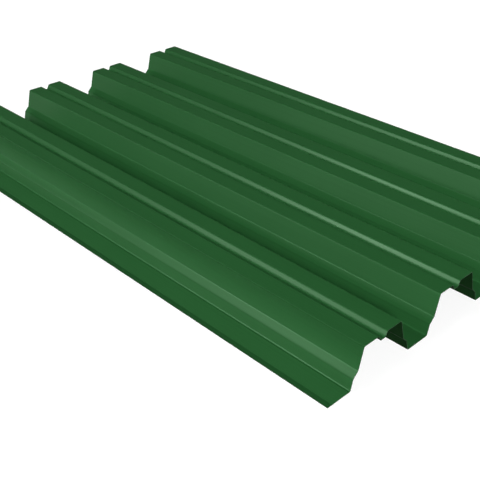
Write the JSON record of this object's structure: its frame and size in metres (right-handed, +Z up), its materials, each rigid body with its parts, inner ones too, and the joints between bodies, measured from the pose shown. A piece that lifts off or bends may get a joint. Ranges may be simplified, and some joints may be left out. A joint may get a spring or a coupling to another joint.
{
  "type": "profiled steel sheet",
  "caption": "Trapezoidal steel roofing and decking sheet with stepped webs, narrow troughs, and wide crests that have a stiffening groove.",
  "frame": {"origin": "under the middle of the sheet's length and width, on the plane that its troughs rest on", "axes": "+X along the ribs, +Y across them, +Z up from the troughs towards the crests"},
  "size_m": [1.2, 0.8, 0.07],
  "materials": {
    "painted_steel": "leaf-green coil coating, semi-gloss"
  },
  "bodies": {
    "root": {"sheet": "painted_steel"}
  },
  "joints": []
}
